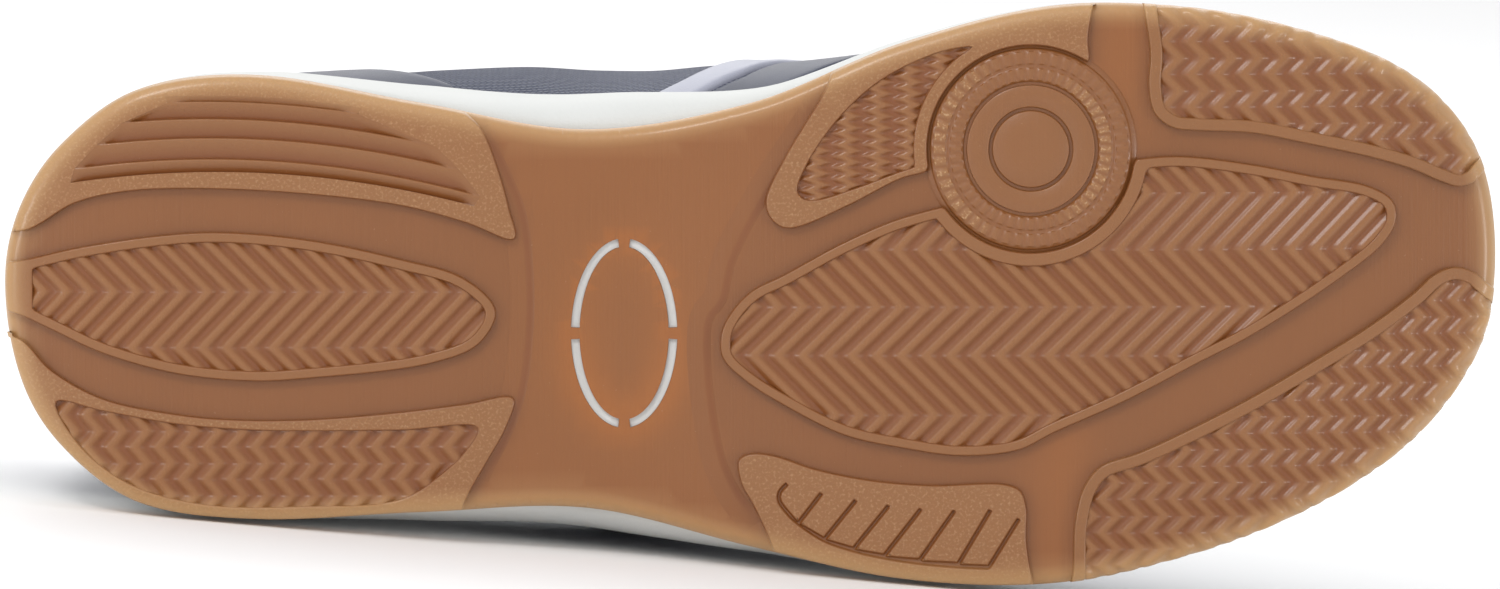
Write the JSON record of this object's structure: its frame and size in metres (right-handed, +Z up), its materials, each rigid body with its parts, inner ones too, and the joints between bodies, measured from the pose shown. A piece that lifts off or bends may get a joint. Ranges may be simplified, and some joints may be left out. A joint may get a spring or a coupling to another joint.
{
  "type": "indoor court shoe",
  "caption": "Left low indoor court shoe lying on its lateral side, with a lugged gum rubber sole, pale foam midsole, hollow mesh upper, tongue and crossed lace.",
  "frame": {"origin": "centre of the bounding box's bottom face, on the floor that the shoe lies on", "axes": "+X from heel to toe, -Y the way the sole faces, +Z up, towards the shoe's medial side"},
  "size_m": [0.2736, 0.107, 0.11],
  "materials": {
    "gum_rubber": "semi-matt gum rubber",
    "foam": "matt moulded foam",
    "mesh": "woven navy mesh",
    "lining": "knitted lining",
    "overlay": "matt welded film",
    "band": "satin pale grey film",
    "lace": "flat woven lace"
  },
  "bodies": {
    "root": {"outsole": "gum_rubber", "midsole": "foam", "insole": "lining", "upper": "mesh", "tongue": "mesh", "eyestay": "overlay", "toe_cap": "overlay", "heel_counter": "overlay", "side_band_lateral": "band", "side_band_medial": "band", "lace_crossings": "lace"}
  },
  "joints": []
}
